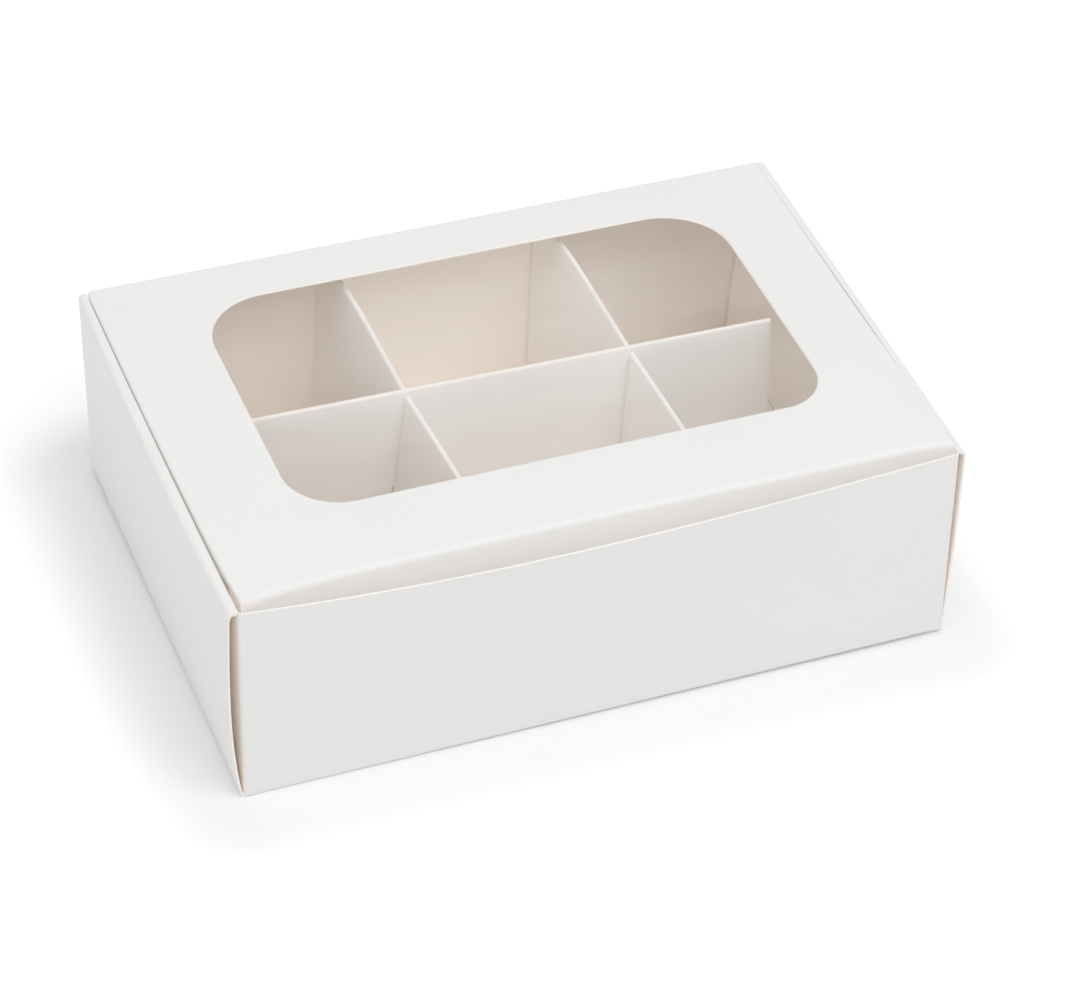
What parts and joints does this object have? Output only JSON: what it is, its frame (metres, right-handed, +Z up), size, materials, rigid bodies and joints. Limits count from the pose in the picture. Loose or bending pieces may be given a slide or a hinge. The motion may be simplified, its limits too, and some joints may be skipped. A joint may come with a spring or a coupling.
{
  "type": "divided window carton",
  "caption": "Folded white card carton with a hinged, tuck-in window lid and a loose slotted insert that parts the inside into equal cells.",
  "frame": {"origin": "middle of the footprint's box on the table, under the floor panel", "axes": "+X along the long side to the right, +Y from the front wall to the hinge at the back, +Z up"},
  "size_m": [0.206, 0.148, 0.063],
  "materials": {
    "coated_card": "smooth coated white board, satin",
    "uncoated_card": "uncoated warm white back of the board, matt",
    "divider_card": "white board, matt",
    "clear_film": "clear thin window film, gloss"
  },
  "bodies": {
    "tray": {"base_panel": "coated_card", "front_wall": "coated_card", "back_wall": "coated_card", "left_end_outer_panel": "coated_card", "left_end_top_bead": "coated_card", "left_end_inner_panel": "uncoated_card", "right_end_outer_panel": "coated_card", "right_end_top_bead": "coated_card", "right_end_inner_panel": "uncoated_card", "front_left_corner_flap": "uncoated_card", "front_right_corner_flap": "uncoated_card", "back_left_corner_flap": "uncoated_card", "back_right_corner_flap": "uncoated_card"},
    "lid": {"lid_panel": "coated_card", "window_film": "clear_film"},
    "tuck_flap": {"lid_tuck_flap": "coated_card"},
    "left_flap": {"lid_left_flap": "coated_card"},
    "right_flap": {"lid_right_flap": "coated_card"},
    "insert": {"long_divider": "divider_card", "left_cross_divider": "divider_card", "right_cross_divider": "divider_card"}
  },
  "joints": [
    {"name": "lid_hinge", "type": "hinge", "parent": "tray", "child": "lid", "pos_m": [0, 0.074, 0.0624], "axis": [-1, 0, 0], "range_deg": [0, 180]},
    {"name": "tuck_fold", "type": "hinge", "parent": "lid", "child": "tuck_flap", "pos_m": [0, -0.0641, 0.063], "axis": [-1, 0, 0], "range_deg": [0, 24]},
    {"name": "left_flap_fold", "type": "hinge", "parent": "lid", "child": "left_flap", "pos_m": [-0.0997, 0, 0.063], "axis": [0, 1, 0], "range_deg": [0, 20]},
    {"name": "right_flap_fold", "type": "hinge", "parent": "lid", "child": "right_flap", "pos_m": [0.0997, 0, 0.063], "axis": [0, -1, 0], "range_deg": [0, 20]},
    {"name": "insert_lift", "type": "slide", "parent": "tray", "child": "insert", "axis": [0, 0, 1], "range_m": [0, 0.0014]}
  ],
  "couplings": [
    {"joint": "tuck_fold", "follows": "lid_hinge", "ratio": 0.125},
    {"joint": "left_flap_fold", "follows": "lid_hinge", "ratio": 0.1},
    {"joint": "right_flap_fold", "follows": "lid_hinge", "ratio": 0.1}
  ]
}
